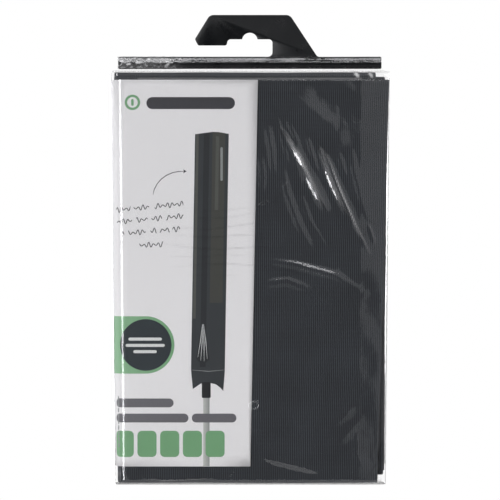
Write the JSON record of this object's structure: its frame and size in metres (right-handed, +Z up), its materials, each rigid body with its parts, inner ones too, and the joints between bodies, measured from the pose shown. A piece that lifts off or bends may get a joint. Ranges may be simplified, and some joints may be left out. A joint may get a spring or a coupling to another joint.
{
  "type": "packaged rotary clothesline cover",
  "caption": "Dark woven cover for a rotary clothesline, folded flat in a clear hanging bag with a wrap card, a black euro-slot hanger and a closing flap.",
  "frame": {"origin": "the peg's seat at the top of the euro slot, in the middle of the hanger's thickness", "axes": "+Z up as the pack hangs; the printed front faces -Y; +X to the right seen from the front"},
  "size_m": [0.1972, 0.0184, 0.3308],
  "materials": {
    "hanger_plastic": "satin",
    "film": "gloss",
    "glue": "satin",
    "card": "satin",
    "cover_cloth": "matte",
    "binding_cloth": "matte",
    "label_cloth": "matte",
    "zip_tape": "matte",
    "zip_teeth": "satin",
    "zip_metal": "satin"
  },
  "bodies": {
    "hanger_body": {"hanger": "hanger_plastic", "header_hem": "film"},
    "pack_body": {"bag_front": "film", "bag_back": "film", "insert_card": "card", "cover_panel": "cover_cloth", "cover_top_cap": "cover_cloth", "cover_hem_binding": "binding_cloth", "care_label": "label_cloth", "zip_tape_left": "zip_tape", "zip_tape_right": "zip_tape", "zip_coil_left": "zip_teeth", "zip_coil_right": "zip_teeth", "zip_top_stops": "zip_metal", "zip_bottom_stop": "zip_metal"},
    "flap_body": {"bag_flap": "film", "flap_adhesive": "glue"},
    "slider_body": {"zip_slider": "zip_metal"},
    "puller_body": {"zip_puller": "zip_metal"}
  },
  "joints": [
    {"name": "neck_fold", "type": "hinge", "parent": "hanger_body", "child": "pack_body", "pos_m": [0, 0, -0.02065], "axis": [1, 0, 0], "range_deg": [-90, 90]},
    {"name": "flap_fold", "type": "hinge", "parent": "pack_body", "child": "flap_body", "pos_m": [0, 0.00935, -0.31275], "axis": [-1, 0, 0], "range_deg": [0, 180]},
    {"name": "slider_travel", "type": "slide", "parent": "pack_body", "child": "slider_body", "axis": [0, 0, 1], "range_m": [0, 0.2]},
    {"name": "puller_flip", "type": "hinge", "parent": "slider_body", "child": "puller_body", "pos_m": [0.046, 0.0074, -0.28295], "axis": [1, 0, 0], "range_deg": [-4, 2]}
  ]
}
